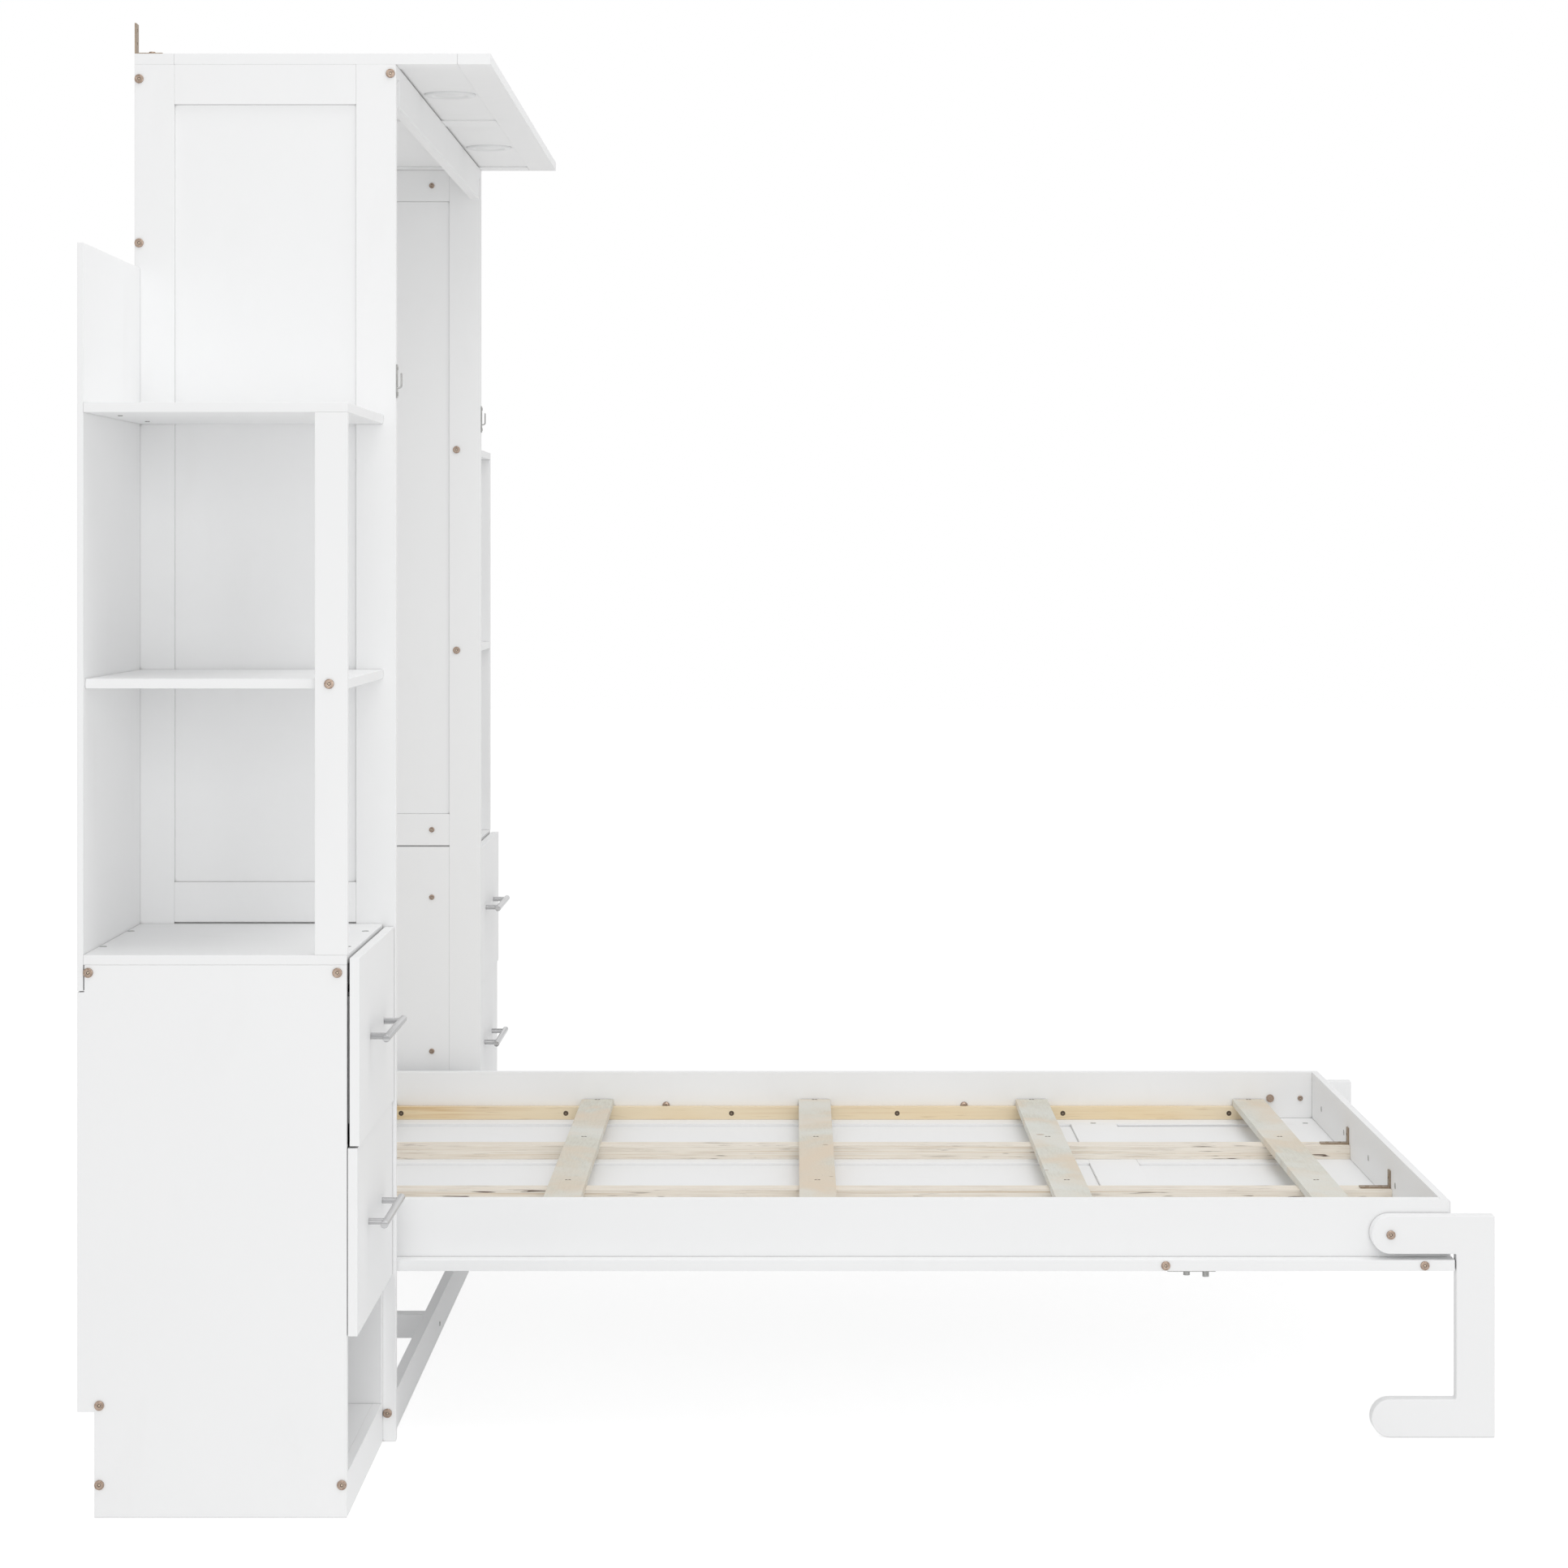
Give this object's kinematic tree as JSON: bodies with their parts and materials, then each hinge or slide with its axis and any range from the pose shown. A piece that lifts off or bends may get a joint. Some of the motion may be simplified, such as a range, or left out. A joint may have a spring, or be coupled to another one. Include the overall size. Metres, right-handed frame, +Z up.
{
  "type": "wall bed",
  "caption": "White fold-down wall bed with a slatted base and folding legs, in a canopied cabinet between shelf towers with drawers.",
  "frame": {"origin": "on the floor, in the middle of the footprint with the bed folded down", "axes": "+X along the wall to the right as seen from the room, +Y into the wall, +Z up; the bed folds down towards -Y"},
  "size_m": [2.688, 2.259, 2.351],
  "materials": {
    "white_lacquer": "satin white lacquer on solid wood and board",
    "handle_steel": "brushed along the bar",
    "bronze_bolt": "bronze-coloured plating, worn pale at the rim",
    "zinc_steel": "dull zinc plating",
    "bronze_plate": "bronze-coloured plating",
    "pine": "raw planed pine",
    "raw_beam": "raw laminated veneer, open fibres",
    "raw_slat": "raw veneered slat, grey-green to tan",
    "runner_wood": "waxed hardwood",
    "white_plastic": "moulded, matt"
  },
  "bodies": {
    "cabinet": {"canopy_frame": "white_lacquer", "canopy_panels": "white_lacquer", "canopy_discs": "white_plastic", "header_rail": "white_lacquer", "back_board": "white_lacquer", "front_floor_beam": "white_lacquer", "floor_rails": "white_lacquer", "wall_brackets": "zinc_steel", "latch_hooks": "zinc_steel", "cabinet_bolts": "bronze_bolt", "drawer_runners": "runner_wood", "left_side_frame": "white_lacquer", "left_side_panels": "white_lacquer", "left_outer_panel": "white_lacquer", "left_inner_panel": "white_lacquer", "left_unit_top": "white_lacquer", "left_unit_decks": "white_lacquer", "left_unit_rails": "white_lacquer", "left_backs": "white_lacquer", "left_shelves": "white_lacquer", "left_post": "white_lacquer", "right_side_frame": "white_lacquer", "right_side_panels": "white_lacquer", "right_outer_panel": "white_lacquer", "right_inner_panel": "white_lacquer", "right_unit_top": "white_lacquer", "right_unit_decks": "white_lacquer", "right_unit_rails": "white_lacquer", "right_backs": "white_lacquer", "right_shelves": "white_lacquer", "right_post": "white_lacquer"},
    "bed": {"bed_panel_frame": "white_lacquer", "bed_panel_fields": "white_lacquer", "left_bed_rail": "white_lacquer", "right_bed_rail": "white_lacquer", "headboard": "white_lacquer", "footboard": "white_lacquer", "ledgers": "pine", "slat_beams": "raw_beam", "slats": "raw_slat", "beam_angles": "bronze_plate", "pivot_pins": "zinc_steel", "bed_bolts": "bronze_bolt", "latch_bases": "zinc_steel"},
    "left_leg": {"left_leg": "white_lacquer"},
    "right_leg": {"right_leg": "white_lacquer"},
    "left_latch": {"left_latch": "zinc_steel"},
    "right_latch": {"right_latch": "zinc_steel"},
    "left_lower_drawer": {"left_lower_drawer_front": "white_lacquer", "left_lower_drawer_box": "white_lacquer", "left_lower_handle": "handle_steel"},
    "left_upper_drawer": {"left_upper_drawer_front": "white_lacquer", "left_upper_drawer_box": "white_lacquer", "left_upper_handle": "handle_steel"},
    "right_lower_drawer": {"right_lower_drawer_front": "white_lacquer", "right_lower_drawer_box": "white_lacquer", "right_lower_handle": "handle_steel"},
    "right_upper_drawer": {"right_upper_drawer_front": "white_lacquer", "right_upper_drawer_box": "white_lacquer", "right_upper_handle": "handle_steel"}
  },
  "joints": [
    {"name": "bed_fold", "type": "hinge", "parent": "cabinet", "child": "bed", "pos_m": [0, 0.7785, 0.36], "axis": [-1, 0, 0], "range_deg": [0, 90]},
    {"name": "left_leg_fold", "type": "hinge", "parent": "bed", "child": "left_leg", "pos_m": [-0.8055, -0.9565, 0.3375], "axis": [-1, 0, 0], "range_deg": [0, 180]},
    {"name": "right_leg_fold", "type": "hinge", "parent": "bed", "child": "right_leg", "pos_m": [0.8055, -0.9565, 0.3375], "axis": [-1, 0, 0], "range_deg": [0, 180]},
    {"name": "left_latch_turn", "type": "hinge", "parent": "bed", "child": "left_latch", "pos_m": [-0.79, -0.6195, 0.27325], "axis": [0, 0, -1], "range_deg": [0, 90]},
    {"name": "right_latch_turn", "type": "hinge", "parent": "bed", "child": "right_latch", "pos_m": [0.79, -0.6195, 0.27325], "axis": [0, 0, 1], "range_deg": [0, 90]},
    {"name": "left_lower_drawer_slide", "type": "slide", "parent": "cabinet", "child": "left_lower_drawer", "axis": [0, -1, 0], "range_m": [0, 0.3]},
    {"name": "left_upper_drawer_slide", "type": "slide", "parent": "cabinet", "child": "left_upper_drawer", "axis": [0, -1, 0], "range_m": [-0.003, 0.297]},
    {"name": "right_lower_drawer_slide", "type": "slide", "parent": "cabinet", "child": "right_lower_drawer", "axis": [0, -1, 0], "range_m": [0, 0.3]},
    {"name": "right_upper_drawer_slide", "type": "slide", "parent": "cabinet", "child": "right_upper_drawer", "axis": [0, -1, 0], "range_m": [-0.003, 0.297]}
  ],
  "couplings": [
    {"joint": "left_leg_fold", "follows": "bed_fold", "ratio": 2},
    {"joint": "right_leg_fold", "follows": "bed_fold", "ratio": 2}
  ]
}
